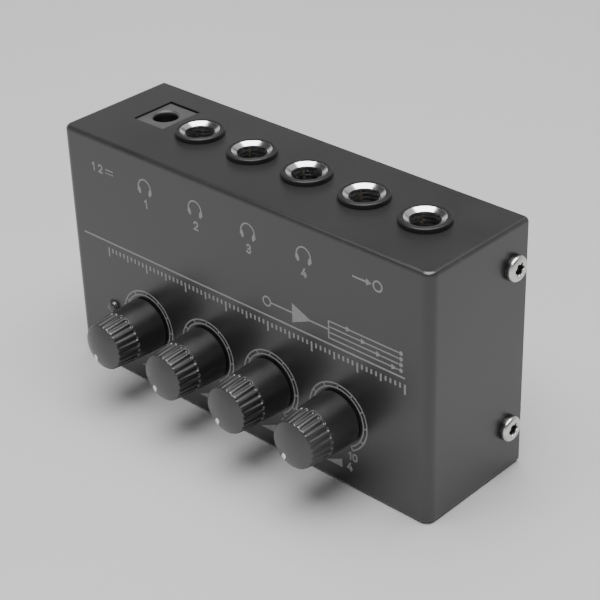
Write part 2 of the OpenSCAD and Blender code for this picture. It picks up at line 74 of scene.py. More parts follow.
# ---- materials -------------------------------------------------------------
class Nodes:
    """A node tree written from top to bottom."""

    def __init__(self, name):
        self.mat = bpy.data.materials.new(name)
        self.mat.use_nodes = True
        self.nt = self.mat.node_tree
        self.nt.nodes.clear()
        self.out = self.nt.nodes.new("ShaderNodeOutputMaterial")
        self.bsdf = self.nt.nodes.new("ShaderNodeBsdfPrincipled")
        self.nt.links.new(self.bsdf.outputs[0], self.out.inputs[0])
        self.coord = self.nt.nodes.new("ShaderNodeTexCoord").outputs["Object"]

    def link(self, a, b):
        if isinstance(a, (int, float)):
            b.default_value = a
        elif isinstance(a, (tuple, list)):
            b.default_value = tuple(a) + (1,) * (len(b.default_value) - len(a))
        else:
            self.nt.links.new(a, b)

    def math(self, op, a, b=0.0, c=0.0, clamp=False):
        n = self.nt.nodes.new("ShaderNodeMath")
        n.operation = op
        n.use_clamp = clamp
        self.link(a, n.inputs[0])
        self.link(b, n.inputs[1])
        self.link(c, n.inputs[2])
        return n.outputs[0]

    def noise(self, scale, detail=3.0, rough=0.5, stretch=None, vector=None):
        v = vector or self.coord
        if stretch:
            mp = self.nt.nodes.new("ShaderNodeMapping")
            mp.inputs["Scale"].default_value = stretch
            self.nt.links.new(v, mp.inputs[0])
            v = mp.outputs[0]
        n = self.nt.nodes.new("ShaderNodeTexNoise")
        n.inputs["Scale"].default_value = scale
        n.inputs["Detail"].default_value = detail
        n.inputs["Roughness"].default_value = rough
        self.nt.links.new(v, n.inputs["Vector"])
        return n.outputs[0]

    def cells(self, scale, feature="F1"):
        n = self.nt.nodes.new("ShaderNodeTexVoronoi")
        n.feature = feature
        n.inputs["Scale"].default_value = scale
        self.nt.links.new(self.coord, n.inputs["Vector"])
        return n.outputs[0]

    def remap(self, v, a, b, c, d, smooth=False):
        n = self.nt.nodes.new("ShaderNodeMapRange")
        n.interpolation_type = "SMOOTHSTEP" if smooth else "LINEAR"
        n.clamp = True
        for k, x in enumerate([v, a, b, c, d]):
            self.link(x, n.inputs[k])
        return n.outputs[0]

    def mix(self, f, a, b):
        n = self.nt.nodes.new("ShaderNodeMix")
        n.data_type = "RGBA"
        self.link(f, n.inputs[0])
        self.link(a, n.inputs[6])
        self.link(b, n.inputs[7])
        return n.outputs[2]

    def split(self, v=None):
        n = self.nt.nodes.new("ShaderNodeSeparateXYZ")
        self.nt.links.new(v or self.coord, n.inputs[0])
        return n.outputs

    def bump(self, height, distance, strength=1.0, under=None):
        n = self.nt.nodes.new("ShaderNodeBump")
        n.inputs["Distance"].default_value = distance
        n.inputs["Strength"].default_value = strength
        self.link(height, n.inputs["Height"])
        if under is not None:
            self.nt.links.new(under, n.inputs["Normal"])
        return n.outputs[0]

    def set(self, **values):
        for k, v in values.items():
            self.link(v, self.bsdf.inputs[k.replace("_", " ")])
        return self

    def done(self):
        return self.mat


def tint(c, k):
    return tuple(min(1.0, x * k) for x in c)


def basic(name, colour, rough, metallic=0.0, blotch=60.0, blotch_by=0.12, grain=1800.0,
          grain_by=0.06, rough_by=0.05, bump_mm=0.004, ior=1.5, coat=0.0, coat_rough=0.1,
          spec=0.5, stretch=None):
    """A finish with broad colour variation, fine grain, uneven gloss and a grain bump."""
    m = Nodes(name)
    broad = m.noise(blotch, 4.0, 0.55)
    fine = m.noise(grain, 2.0, 0.6, stretch)
    c = m.mix(m.remap(broad, 0.3, 0.7, 0, 1), tint(colour, 1 - blotch_by), tint(colour, 1 + blotch_by))
    c = m.mix(m.remap(fine, 0.35, 0.65, 0, grain_by), c, tint(colour, 1.9))
    r = m.math("ADD", m.remap(broad, 0.3, 0.7, rough - rough_by, rough + rough_by),
               m.remap(fine, 0.3, 0.7, -0.4 * rough_by, 0.4 * rough_by), clamp=True)
    m.set(Base_Color=c, Roughness=r, Metallic=metallic, IOR=ior)
    m.bsdf.inputs["Specular IOR Level"].default_value = spec
    if coat:
        m.bsdf.inputs["Coat Weight"].default_value = coat
        m.bsdf.inputs["Coat Roughness"].default_value = coat_rough
    if bump_mm:
        m.set(Normal=m.bump(fine, bump_mm * MM))
    return m


def paint_material(name, colour, edge_wear=True):
    """Fine-textured satin enamel on sheet metal, a little lighter where the folds are handled."""
    m = Nodes(name)
    broad = m.noise(38.0, 4.0, 0.55)
    grain = m.noise(2300.0, 2.0, 0.65)
    peel = m.noise(520.0, 2.0, 0.5)
    c = m.mix(m.remap(broad, 0.3, 0.7, 0, 1), tint(colour, 0.90), tint(colour, 1.10))
    c = m.mix(m.remap(grain, 0.40, 0.72, 0, 0.10), c, tint(colour, 2.4))
    rough = m.math("ADD", m.remap(broad, 0.3, 0.7, PAINT_ROUGH - 0.025, PAINT_ROUGH + 0.03),
                   m.remap(grain, 0.3, 0.7, -0.02, 0.02))
    if edge_wear:
        x, y, z = m.split()
        ex = m.remap(m.math("ABSOLUTE", x), (HW - 1.5) * MM, (HW - 0.35) * MM, 0, 1, True)
        ey = m.remap(m.math("ABSOLUTE", y), (-FRONT - 1.5) * MM, (-FRONT - 0.35) * MM, 0, 1, True)
        zc = m.math("ABSOLUTE", m.math("SUBTRACT", z, TOP / 2 * MM))
        ez = m.remap(zc, (TOP / 2 - 1.5) * MM, (TOP / 2 - 0.35) * MM, 0, 1, True)
        edge = m.math("MAXIMUM", m.math("MULTIPLY", ex, ey), m.math("MULTIPLY", ey, ez))
        edge = m.math("MAXIMUM", edge, m.math("MULTIPLY", ex, ez))
        scuff = m.remap(m.noise(700.0, 4.0, 0.7), 0.56, 0.70, 0, 1)
        edge = m.math("MULTIPLY", edge, scuff)
        c = m.mix(m.math("MULTIPLY", edge, 0.55), c, tint(colour, 3.2))
        rough = m.math("SUBTRACT", rough, m.math("MULTIPLY", edge, 0.06))
    m.set(Base_Color=c, Roughness=rough, IOR=1.5)
    m.bsdf.inputs["Specular IOR Level"].default_value = PAINT_SPEC
    m.set(Normal=m.bump(peel, 0.0035 * MM, under=m.bump(grain, 0.0016 * MM)))
    return m.done()


def turned_metal(name, colour, rough, rings=9000.0, ring_mm=0.0010, axis="Z", rough_by=0.05, shaded_recess=None):
    """Plated metal with concentric turning marks around the piece's own axis; for a screw, painted shade in the driver
    recess and down the head's wall.
    """
    m = Nodes(name)
    x, y, z = m.split()
    a, b = {"Z": (x, y), "X": (y, z), "Y": (x, z)}[axis]
    r = m.math("SQRT", m.math("ADD", m.math("MULTIPLY", a, a), m.math("MULTIPLY", b, b)))
    comb = m.nt.nodes.new("ShaderNodeCombineXYZ")
    m.link(r, comb.inputs[0])
    m.link(m.math("MULTIPLY", {"Z": z, "X": x, "Y": y}[axis], 0.6), comb.inputs[1])
    marks = m.noise(rings, 2.0, 0.6, vector=comb.outputs[0])
    cloud = m.noise(420.0, 3.0, 0.6)
    c = m.mix(m.remap(cloud, 0.35, 0.7, 0, 1), tint(colour, 0.93), tint(colour, 1.04))
    rr = m.math("ADD", m.remap(cloud, 0.3, 0.7, rough - rough_by, rough + rough_by),
                m.remap(marks, 0.3, 0.7, -0.015, 0.02))
    if shaded_recess:
        # painted shade: dull and nearly black down in the driver recess, where shade falls
        deep = m.remap(m.math("ABSOLUTE", x), 1.20 * MM, shaded_recess[1] * MM, 1, 0, True)
        near = m.remap(r, shaded_recess[2] * MM, (shaded_recess[2] + 0.15) * MM, 1, 0, True)
        recess_shade = m.math("MULTIPLY", deep, near)
        c = m.mix(m.math("MULTIPLY", recess_shade, 0.97), c, (0.05, 0.05, 0.05))
        # painted shade down the head's wall, standing for the shadow and dark reflection there
        wall = m.remap(m.math("ABSOLUTE", x), 0.55 * MM, 1.15 * MM, 1, 0, True)
        c = m.mix(m.math("MULTIPLY", wall, 0.80), c, (0.06, 0.06, 0.06))
        rr = m.math("ADD", rr, m.math("MULTIPLY", recess_shade, 0.3), clamp=True)
    m.set(Base_Color=c, Roughness=rr, Metallic=1.0)
    m.set(Normal=m.bump(marks, ring_mm * MM))
    return m.done()


PAINT_ROUGH = 0.31
PAINT_SPEC = 0.84
M = {}
M["shell_paint"] = paint_material("shell_paint", (0.0148, 0.0148, 0.0151))
M["cover_paint"] = paint_material("cover_paint", (0.0136, 0.0136, 0.0139))
knob = basic("knob_plastic", (0.0125, 0.0125, 0.0128), 0.35, blotch=300, grain=2000,
             grain_by=0.07, bump_mm=0.0007, rough_by=0.03, spec=1.0)
# the fluted band is a little duller than the skirt and the cap
along = knob.math("MULTIPLY", knob.split()[1], -1.0)
band = knob.math("MULTIPLY", knob.remap(along, 8.3 * MM, 8.9 * MM, 0, 1, True), knob.remap(along, 12.95 * MM, 13.3 * MM, 1, 0, True))
knob.set(Roughness=knob.math("ADD", knob.bsdf.inputs["Roughness"].links[0].from_socket, knob.math("MULTIPLY", band, 0.10), clamp=True))
M["knob_plastic"] = knob.done()
M["nut_plastic"] = basic("nut_plastic", (0.0100, 0.0100, 0.0103), 0.36, blotch=420, grain=2400, grain_by=0.08,
                         bump_mm=0.0007, rough_by=0.04).done()
M["pointer_white"] = basic("pointer_white", (0.90, 0.90, 0.89), 0.3, blotch=600, blotch_by=0.04,
                           grain_by=0.02, bump_mm=0.002).done()
M["bush_chrome"] = turned_metal("bush_chrome", (0.78, 0.78, 0.785), 0.17, ring_mm=0.0002, rough_by=0.03)
# the screws carry painted shade in the driver recess and down the head's wall
M["screw_nickel"] = turned_metal("screw_nickel", (0.74, 0.73, 0.71), 0.27, rings=7000, ring_mm=0.0005, axis="X", shaded_recess=(HW, 1.75, 1.5))
inlet = basic("inlet_plastic", (0.056, 0.056, 0.0575), 0.42, blotch=250, grain=2400,
              grain_by=0.07, bump_mm=0.005)
# the barrel below the face is painted nearly black, part black moulded insert and part painted shade down the bore
inlet_face = inlet.remap(inlet.split()[2], (TOP - 1.4) * MM, (TOP - 0.75) * MM, 0, 1, True)
inlet.set(Base_Color=inlet.mix(inlet_face, (0.006, 0.006, 0.0062), inlet.bsdf.inputs["Base Color"].links[0].from_socket))
M["inlet_plastic"] = inlet.done()
M["inlet_metal"] = turned_metal("inlet_metal", (0.72, 0.69, 0.62), 0.25)
M["foot_rubber"] = basic("foot_rubber", (0.018, 0.018, 0.018), 0.72, blotch=200, grain=3000, grain_by=0.15,
                         bump_mm=0.02, rough_by=0.06).done()
M["board_laminate"] = basic("board_laminate", (0.02, 0.13, 0.05), 0.32, blotch=150, grain=1500,
                            bump_mm=0.004, stretch=(1.0, 0.2, 6.0)).done()
M["jack_plastic"] = basic("jack_plastic", (0.012, 0.012, 0.0125), 0.42, blotch=220, grain=2200, grain_by=0.1,
                          bump_mm=0.006).done()
M["contact_metal"] = turned_metal("contact_metal", (0.78, 0.66, 0.40), 0.26)
M["lead_tin"] = turned_metal("lead_tin", (0.72, 0.72, 0.70), 0.30)
M["shaft_metal"] = turned_metal("shaft_metal", (0.62, 0.62, 0.61), 0.28, axis="Y")
M["spacer_plastic"] = basic("spacer_plastic", (0.013, 0.013, 0.013), 0.5, blotch=300, grain=2500, bump_mm=0.005).done()
M["pot_plastic"] = basic("pot_plastic", (0.05, 0.12, 0.07), 0.45, blotch=220, grain=2200, bump_mm=0.006).done()
M["chip_epoxy"] = basic("chip_epoxy", (0.018, 0.018, 0.019), 0.55, blotch=500, grain=4200, grain_by=0.16, bump_mm=0.006).done()
M["can_sleeve"] = basic("can_sleeve", (0.015, 0.02, 0.045), 0.28, blotch=200, grain=2000, bump_mm=0.003).done()
M["diode_epoxy"] = basic("diode_epoxy", (0.014, 0.014, 0.014), 0.4, blotch=400, grain=3000, bump_mm=0.004).done()
M["chip_ceramic"] = basic("chip_ceramic", (0.30, 0.28, 0.25), 0.5, blotch=900, grain=5000, bump_mm=0.003).done()
M["panel_print"] = basic("panel_print", (0.235, 0.235, 0.24), 0.48, blotch=900, blotch_by=0.10, grain=5200,
                         grain_by=0.05, bump_mm=0.003, rough_by=0.04).done()
lens = basic("lamp_epoxy", (0.060, 0.060, 0.062), 0.11, blotch=500, blotch_by=0.08, grain=3000, grain_by=0.02,
             bump_mm=0, rough_by=0.025, ior=1.52, spec=0.8)
lens.bsdf.inputs["Transmission Weight"].default_value = 0.30
M["lamp_epoxy"] = lens.done()

for o in nodes.values():
    for s in o.material_slots:
        if s.material and s.material.name.split(".")[0] in M:
            s.material = M[s.material.name.split(".")[0]]
        elif s.material:
            raise RuntimeError("no finish for slot " + s.material.name)


# ---- mesh helpers ----------------------------------------------------------
def loft(rings, closed=False):
    """Rings of equally many points, or a lone point for a pole, joined in order."""
    verts, index, faces = [], [], []
    for r in rings:
        r = np.atleast_2d(np.asarray(r, float))
        index.append(list(range(len(verts), len(verts) + len(r))))
        verts += r.tolist()
    order = list(range(len(rings))) + ([0] if closed else [])
    for a, b in zip(order, order[1:]):
        A, B = index[a], index[b]
        n = max(len(A), len(B))
        for k in range(n):
            j = (k + 1) % n
            if len(A) == 1:
                faces.append((A[0], B[j], B[k]))
            elif len(B) == 1:
                faces.append((A[k], A[j], B[0]))
            else:
                faces.append((A[k], A[j], B[j], B[k]))
    return verts, faces


def arc(cx, cy, r, a0, a1, n):
    """Points of an arc in a profile, angles in degrees."""
    return [(cx + r * math.cos(math.radians(a)), cy + r * math.sin(math.radians(a))) for a in np.linspace(a0, a1, n)]


def turned(profile, n=96, closed=True):
    """Turns a profile of (radius, height) round +Z."""
    t = np.arange(n) * 2 * math.pi / n
    rings = []
    for r, h in profile:
        if r < 1e-9:
            rings.append([[0, 0, h]])
        else:
            rings.append(np.stack([r * np.cos(t), r * np.sin(t), np.full(n, h)], 1))
    return loft(rings, closed)


ON_PANEL = Matrix(((1, 0, 0), (0, 0, -1), (0, 1, 0)))  # local z points out of the knob panel
ON_BACK = Matrix(((-1, 0, 0), (0, 0, 1), (0, 1, 0)))
ON_RIGHT = Matrix(((0, 0, 1), (1, 0, 0), (0, 1, 0)))
ON_LEFT = Matrix(((0, 0, -1), (-1, 0, 0), (0, 1, 0)))
UP = Matrix.Identity(3)


def piece(name, verts, faces, mats, body="root", at=(0, 0, 0), turn=UP, angle=32.0, face_mats=None):
    """A mesh from points in mm. at is its own origin in mm and turn its axes; the mesh keeps world axes."""
    R = np.array(turn, float)
    v = np.asarray(verts, float) @ R.T * MM
    me = bpy.data.meshes.new(name)
    me.from_pydata(v.tolist(), [], [tuple(f) for f in faces])
    for m in mats:
        me.materials.append(m)
    if face_mats is not None:
        me.polygons.foreach_set("material_index", face_mats)
    bm = bmesh.new()
    bm.from_mesh(me)
    bmesh.ops.recalc_face_normals(bm, faces=bm.faces)
    bm.to_mesh(me)
    bm.free()
    me.shade_smooth()
    me.set_sharp_from_angle(angle=math.radians(angle))
    o = bpy.data.objects.new(name, me)
    o.location = Vector(at) * MM
    bpy.context.scene.collection.objects.link(o)
    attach(o, body)
    return o


def merge(parts):
    verts, faces = [], []
    for v, f in parts:
        n = len(verts)
        verts += [list(p) for p in v]
        faces += [tuple(i + n for i in q) for q in f]
    return verts, faces


# ---- knobs -----------------------------------------------------------------
FLUTES = 24
MID_L, RIM_L, RIM_R, DOME_R = 8.0, 13.2, 0.5, 11.0
FOOT_R, MID_R, TOP_R = 6.15, 5.85, 5.35
RIM_C = TOP_R - RIM_R
DOME_C = RIM_L - math.sqrt((DOME_R - RIM_R) ** 2 - RIM_C ** 2)
DOME_EDGE = RIM_C * DOME_R / (DOME_R - RIM_R)
REST = math.radians(-122)


def smooth_min(a, b, k):
    h = np.clip(0.5 + 0.5 * (b - a) / k, 0, 1)
    return b * (1 - h) + a * h - k * h * (1 - h)


def knob_mesh():
    per = 18
    n = FLUTES * per
    t = np.arange(n) * 2 * math.pi / n
    off = (t * FLUTES / (2 * math.pi)) % 1.0 - 0.5  # -0.5..0.5 across a ridge, 0 on the flute
    off = np.where(off > 0.5, off - 1, off)
    a = off * 2 * math.pi / FLUTES
    phase = REST + math.pi / FLUTES + math.pi / FLUTES
    lean = math.atan((MID_R - TOP_R) / (RIM_L - MID_L))
    GR, START = 0.56, MID_L + 0.5

    def surface(R, L):
        """Radius all round where the turned form has radius R at height L."""
        if L < START - GR - 0.12:
            return np.full(n, R)
        g2 = GR * GR - max(0.0, START - L) ** 2
        centre = MID_R + 0.13 - max(0.0, L - START) * math.tan(lean / 2)
        side = centre * np.sin(a)
        inside = g2 - side ** 2
        cut = centre * np.cos(a) - np.sqrt(np.maximum(inside, 0.0))
        over = centre * np.cos(a) + np.sqrt(np.maximum(-inside, 0.0)) * 1.4
        cut = np.where(inside > 0, cut, over)
        return smooth_min(np.full(n, R), cut, 0.095)

    prof = [(3.05, 12.6), (3.05, 0.5), (3.9, 0.5), (3.9, 7.4), (4.9, 7.4), (4.9, 0.5)]
    inner = len(prof)
    outer = arc(FOOT_R - 0.18, 0.5 + 0.18, 0.18, -90, -2, 5)
    for L in np.linspace(0.9, MID_L - 0.35, 7):
        outer.append((FOOT_R + (MID_R - FOOT_R) * (L - 0.5) / (MID_L - 0.5), L))
    for L in list(np.linspace(MID_L - 0.2, START + 0.2, 22)) + list(np.linspace(START + 0.5, RIM_L - 0.15, 9)):
        R = FOOT_R + (MID_R - FOOT_R) * (L - 0.5) / (MID_L - 0.5) if L < MID_L else MID_R + (TOP_R - MID_R) * (L - MID_L) / (RIM_L - MID_L)
        outer.append((R, L))
    end = math.degrees(math.acos(RIM_C / (DOME_R - RIM_R)))
    outer += arc(RIM_C, RIM_L, RIM_R, -1, end, 9)[1:]
    for r in list(np.linspace(DOME_EDGE - 0.06, 4.6, 7)) + list(np.linspace(4.2, 0.5, 9)):
        outer.append((r, DOME_C + math.sqrt(DOME_R ** 2 - r * r)))
    rings = [[[0, 0, 12.6]]]
    ct, st = np.cos(t + phase), np.sin(t + phase)
    for r, L in prof:
        rings.append(np.stack([r * ct, r * st, np.full(n, L)], 1))
    for k, (R, L) in enumerate(outer):
        rho = surface(R, L)
        if R < 4.9 and L > RIM_L:
            rho = np.full(n, R)
        h = np.full(n, L)
        if L > RIM_L:
            # the cap follows its dome right up to the wall of each flute
            on_dome = DOME_C + np.sqrt(DOME_R ** 2 - np.minimum(rho, DOME_EDGE) ** 2)
            h = np.where(rho < R - 1e-6, np.minimum(np.maximum(L, L), on_dome), L)
        rings.append(np.stack([rho * ct, rho * st, h], 1))
    rings.append([[0, 0, DOME_C + DOME_R]])
    verts, faces = loft(rings)
    return verts, faces


def pointer_mesh():
    """An inlaid mark that follows the dome, its edge slightly rounded."""
    r0, r1, w = 2.45, 4.92, 0.52
    m = 14
    outline, axis = [], []
    for b in np.linspace(-90, 90, m):
        outline.append((r1 - w + w * math.cos(math.radians(b)), w * math.sin(math.radians(b))))
        axis.append((r1 - w, 0))
    for b in np.linspace(90, 270, m):
        outline.append((r0 + w + w * math.cos(math.radians(b)), w * math.sin(math.radians(b))))
        axis.append((r0 + w, 0))
    outline, axis = np.array(outline), np.array(axis)
    dense_o, dense_a = [], []
    for k in range(len(outline)):
        j = (k + 1) % len(outline)
        steps = 8 if abs(outline[k][0] - outline[j][0]) > 0.5 else 1
        for s in range(steps):
            f = s / steps
            dense_o.append(outline[k] * (1 - f) + outline[j] * f)
            dense_a.append(axis[k] * (1 - f) + axis[j] * f)
    outline, axis = np.array(dense_o), np.array(dense_a)
    ca, sa = math.cos(REST), math.sin(REST)

    def ring(scale, lift):
        p = axis + (outline - axis) * scale
        rho2 = (p ** 2).sum(1)
        h = DOME_C + np.sqrt(DOME_R ** 2 - rho2) + lift
        return np.stack([p[:, 0] * ca - p[:, 1] * sa, p[:, 0] * sa + p[:, 1] * ca, h], 1)

    rings = [ring(0.05, -0.25), ring(1.0, -0.25), ring(1.0, 0.0), ring(0.985, 0.022), ring(0.94, 0.032),
             ring(0.6, 0.035), ring(0.3, 0.035), ring(0.05, 0.035)]
    verts, faces = loft(rings)
    n = len(outline)
    faces.append(tuple(range(n - 1, -1, -1)))
    faces.append(tuple(range((len(rings) - 1) * n, len(rings) * n)))
    return verts, faces


kv, kf = knob_mesh()
pv, pf = pointer_mesh()
for i, (x, z) in enumerate(knob_at, 1):
    k = piece("knob_body_%d" % i, kv, kf, [M["knob_plastic"]], "level_%d" % i,
              (x, FRONT, z), ON_PANEL, angle=50)
    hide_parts("knob_%d" % i)
    p = piece("knob_mark_%d" % i, pv, pf, [M["pointer_white"]], "level_%d" % i,
              (x, FRONT, z), ON_PANEL, angle=40)
    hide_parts("knob_pointer_%d" % i)


# ---- jack sleeves and their nuts -------------------------------------------
def sleeve_profile():
    """(radius, height above the jack panel), outer wall first, over the dished mouth, down the bore."""
    p = [(4.4, -5.6), (4.4, 0.98), (4.36, 1.04), (4.30, 1.05)]
    for t in np.linspace(0.94, 0.05, 14):
        p.append((3.22 + (4.30 - 3.22) * t, 1.05 - 0.62 * (1 - t ** 1.15)))
    p += [(3.235, 0.42), (3.22, 0.37)]
    # stepped bore: fine rings below the mouth
    for z in (-0.45, -1.35, -2.25, -3.15):
        p += [(3.22, z + 0.26), (3.46, z + 0.12), (3.46, z - 0.20), (3.22, z - 0.30)]
    p += [(3.22, -5.6)]
    return p


nut_profile = [(4.45, 0.0), (5.38, 0.0), (5.45, 0.07), (5.45, 0.78)] + arc(5.15, 0.8, 0.3, 4, 86, 9) + \
              [(5.10, 1.10), (4.53, 1.10), (4.47, 1.085), (4.45, 1.04)]

for i, x in enumerate(jack_at, 1):
    v, f = turned(sleeve_profile(), 128)
    b = piece("jack_sleeve_%d" % i, v, f, [M["bush_chrome"]], "root", (x, JACK_Y, TOP), UP, angle=28)
    v, f = turned(nut_profile, 96)
    c = piece("jack_nut_%d" % i, v, f, [M["nut_plastic"]], "root", (x, JACK_Y, TOP), UP, angle=35)
    if i == 1:
        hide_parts("jack_bushes")
        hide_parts("jack_nuts")


# ---- side screws -----------------------------------------------------------
def screw_mesh(n=96):
    t = np.arange(n) * 2 * math.pi / n
    lobes = 1.35 + 0.22 * np.cos(6 * t)

    def ring(r, h):
        r = np.broadcast_to(np.asarray(r, float), (n,))
        return np.stack([r * np.cos(t), r * np.sin(t), np.full(n, h)], 1)

    rings = [[[0, 0, -4.0]], ring(1.2, -4.0), ring(1.45, -3.7), ring(1.45, 0.0), ring(2.72, 0.0), ring(2.8, 0.08), ring(2.8, 0.95)]
    for a in np.linspace(6, 76, 10):
        rings.append(ring(1.75 + 1.05 * math.cos(math.radians(a)), 0.95 + 0.88 * math.sin(math.radians(a))))
    rings += [ring(1.92, 1.835), ring(1.80, 1.86), ring(1.72, 1.865), ring(1.66, 1.83), ring(lobes + 0.06, 1.74), ring(lobes, 1.66),
              ring(lobes * 0.985, 0.78), ring(lobes * 0.6, 0.66), ring(0.12, 0.58), [[0, 0, 0.575]]]
    return loft(rings)


first = True
sv, sf = screw_mesh()
for side, turn in ((1, ON_RIGHT), (-1, ON_LEFT)):
    for k, z in enumerate(((screw_lo[2] + 2.8), (screw_hi[2] - 2.8))):
        s = piece("case_screw_%s%d" % ("r" if side > 0 else "l", k), sv, sf, [M["screw_nickel"]], "root",
                  (side * HW, SCREW_Y, z), turn, angle=38)
        if first:
            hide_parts("case_screws")
            first = False


# ---- power lamp ------------------------------------------------------------
lens_profile = [(0, -5.5), (1.9, -5.5), (1.9, -4.55), (1.5, -4.5), (1.5, -0.12)] + arc(0, -0.1, 1.5, 0, 88, 16)[1:] + [(0, 1.4)]
v, f = turned(lens_profile, 64, closed=False)
o = piece("lamp_body", v, f, [M["lamp_epoxy"]], "root", (LAMP[0], FRONT, LAMP[1]), ON_PANEL)
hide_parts("lamp_lens")
cup = [(0, -3.4), (0.9, -3.4), (0.95, -2.6), (1.0, -2.2), (0.95, -2.15), (0.62, -2.75), (0.45, -2.9), (0, -2.9)]
v, f = turned(cup, 32, closed=False)
o = piece("lamp_cup", v, f, [M["lead_tin"]], "root", (LAMP[0], FRONT, LAMP[1]), ON_PANEL)

# ---- feet ------------------------------------------------------------------
foot = [(0, 0), (3.9, 0), (4.0, 0.08), (4.0, 0.75)] + arc(3.62, 1.12, 0.36, -12, 90, 7) + \
       [(1.6, 1.48), (1.35, 1.44), (1.2, 1.25), (0, 1.2)]
v0, f0 = turned(foot, 64, closed=False)
parts = []
for x in (foot_lo[0] + 4, foot_hi[0] - 4):
    for z in (foot_lo[2] + 4, foot_hi[2] - 4):
        parts.append(([[p[0] + x, p[1] + z, p[2]] for p in v0], f0))
R = np.array(((1, 0, 0), (0, 0, 1), (0, 1, 0)), float)
v, f = merge(parts)
o = piece("rubber_foot_set", np.asarray(v) @ R.T, f, [M["foot_rubber"]], "root", (0, BACK, 0), UP)
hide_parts("rubber_feet")

# ---- printing on the knob panel --------------------------------------------
PRINT = []
LIFT = 0.022
_step = [0]


def slab(outline, hole=None):
    """A closed thin slab over a 2-D outline, or between two outlines of equal length."""
    _step[0] += 1
    top = LIFT + 0.0022 * (_step[0] % 7)
    outline = [tuple(p) for p in outline]
    n = len(outline)
    if hole is None:
        v = [(x, z, -0.05) for x, z in outline] + [(x, z, top) for x, z in outline]
        f = [tuple(range(n)), tuple(range(2 * n - 1, n - 1, -1))]
        f += [(k, (k + 1) % n, n + (k + 1) % n, n + k) for k in range(n)]
        PRINT.append((v, f))
    else:
        hole = [tuple(p) for p in hole]
        rings = [[(x, z, -0.05) for x, z in outline], [(x, z, top) for x, z in outline],
                 [(x, z, top) for x, z in hole], [(x, z, -0.05) for x, z in hole]]
        PRINT.append(loft(rings, True))


def stroke(points, w, closed=False, caps=True):
    """A pen line of width w along points, with round ends and mitred corners."""
    p = np.asarray(points, float)
    n = len(p)
    h = w / 2
    left, right = [], []
    for k in range(n):
        a = p[k] - p[k - 1] if (k > 0 or closed) else p[1] - p[0]
        b = p[(k + 1) % n] - p[k] if (k < n - 1 or closed) else p[-1] - p[-2]
        a, b = a / np.hypot(*a), b / np.hypot(*b)
        na, nb = np.array([-a[1], a[0]]), np.array([-b[1], b[0]])
        m = na + nb
        m = m / max(np.hypot(*m), 1e-9)
        s = h / max(m @ na, 0.45)
        left.append(p[k] + m * s)
        right.append(p[k] - m * s)
    if closed:
        slab(left, right)
        return
    out = []
    if caps:
        d = p[-1] - p[-2]
        e = math.atan2(d[1], d[0])
        cap = [p[-1] + h * np.array([math.cos(e + b), math.sin(e + b)]) for b in np.linspace(-math.pi / 2, math.pi / 2, 7)]
        d = p[0] - p[1]
        e = math.atan2(d[1], d[0])
        cap0 = [p[0] + h * np.array([math.cos(e + b), math.sin(e + b)]) for b in np.linspace(-math.pi / 2, math.pi / 2, 7)]
        out = right[:-1] + cap + left[1:-1][::-1] + cap0
        out = right[1:-1] + cap + left[1:-1][::-1] + cap0
    else:
        out = right + left[::-1]
    slab(out)


def bow(cx, cy, rx, ry, a0, a1, n=14):
    return [(cx + rx * math.cos(math.radians(a)), cy + ry * math.sin(math.radians(a))) for a in np.linspace(a0, a1, n)]


# strokes of each character in a box 1 high; the number is its width
GLYPHS = {
    "0": (0.62, [("loop", bow(0.31, 0.69, 0.31, 0.31, 0, 180, 9) + bow(0.31, 0.31, 0.31, 0.31, 180, 360, 9))]),
    "1": (0.30, [("line", [(0.0, 0.76), (0.28, 1.0), (0.28, 0.0)])]),
    "2": (0.62, [("line", [(0.02, 0.74)] + bow(0.31, 0.70, 0.29, 0.30, 160, -35, 12) + [(0.0, 0.0), (0.62, 0.0)])]),
    "3": (0.62, [("line", bow(0.30, 0.755, 0.27, 0.245, 150, -90, 11)), ("line", [(0.22, 0.51), (0.30, 0.51)]),
                 ("line", bow(0.30, 0.26, 0.31, 0.26, 90, -150, 12))]),
    "4": (0.66, [("line", [(0.66, 0.27), (0.0, 0.27), (0.40, 1.0)]), ("line", [(0.48, 0.56), (0.48, 0.0)])]),
    "I": (0.04, [("line", [(0.02, 0.0), (0.02, 1.0)])]),
    "N": (0.68, [("line", [(0.0, 0.0), (0.0, 1.0)]), ("line", [(0.0, 1.0), (0.68, 0.0)]), ("line", [(0.68, 0.0), (0.68, 1.0)])]),
    "P": (0.60, [("line", [(0.0, 0.0), (0.0, 1.0)]), ("line", [(0.0, 1.0), (0.33, 1.0)] + bow(0.33, 0.72, 0.28, 0.28, 90, -90, 9)[1:-1] + [(0.33, 0.44), (0.0, 0.44)])]),
    "U": (0.64, [("line", [(0.0, 1.0), (0.0, 0.32)] + bow(0.32, 0.32, 0.32, 0.32, 180, 360, 11)[1:-1] + [(0.64, 0.32), (0.64, 1.0)])]),
    "T": (0.66, [("line", [(0.0, 1.0), (0.66, 1.0)]), ("line", [(0.33, 1.0), (0.33, 0.0)])]),
    "V": (0.74, [("line", [(0.0, 1.0), (0.37, 0.0), (0.74, 1.0)])]),
    "L": (0.54, [("line", [(0.0, 1.0), (0.0, 0.0), (0.54, 0.0)])]),
    "E": (0.56, [("line", [(0.56, 1.0), (0.0, 1.0), (0.0, 0.0), (0.56, 0.0)]), ("line", [(0.0, 0.51), (0.47, 0.51)])]),
}


def word(chars, x, z, height, w, gap=None, centre=False, fit=None):
    """Draws characters with their feet at z. height is outside to outside. fit is the whole width."""
    h = height - w
    adv = gap if gap is not None else 0.30 * h
    widths = [0.42 * h if c == " " else GLYPHS[c][0] * h for c in chars]
    total = sum(widths) + (len(chars) - 1) * (adv + w) + w
    if fit:
        adv += (fit - total) / (len(chars) - 1)
        total = fit
    at = (x - total / 2 if centre else x) + w / 2
    for c, cw in zip(chars, widths):
        if c != " ":
            for kind, pts in GLYPHS[c][1]:
                q = [(at + px * h, z + w / 2 + pz * h) for px, pz in pts]
                stroke(q, w, closed=kind == "loop")
        at += cw + adv + w


